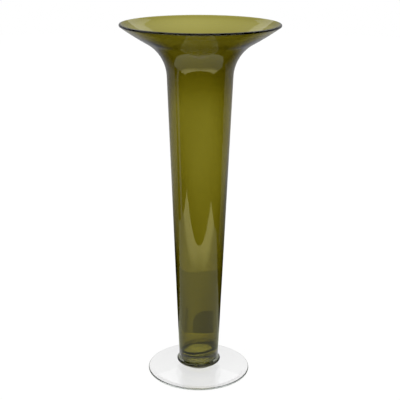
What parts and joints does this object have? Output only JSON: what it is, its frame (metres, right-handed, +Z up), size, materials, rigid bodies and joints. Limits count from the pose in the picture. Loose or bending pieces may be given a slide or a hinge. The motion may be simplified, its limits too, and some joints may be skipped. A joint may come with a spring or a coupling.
{
  "type": "trumpet vase",
  "caption": "Tall footed trumpet vase: a slender hollow olive-green glass cone with a wide flared mouth, joined by a thin glass wafer to a clear round foot.",
  "frame": {"origin": "centre of the table plane, under the middle of the foot", "axes": "+Z up along the vase's axis of symmetry, towards the mouth; X and Y lie in the table plane"},
  "size_m": [0.2154, 0.2154, 0.5],
  "materials": {
    "olive_glass": "transparent olive-green blown glass, fire-polished and glossy",
    "clear_glass": "colourless blown glass, fire-polished and glossy"
  },
  "bodies": {
    "root": {"trumpet_body": "olive_glass", "merese": "olive_glass", "foot": "clear_glass"}
  },
  "joints": []
}
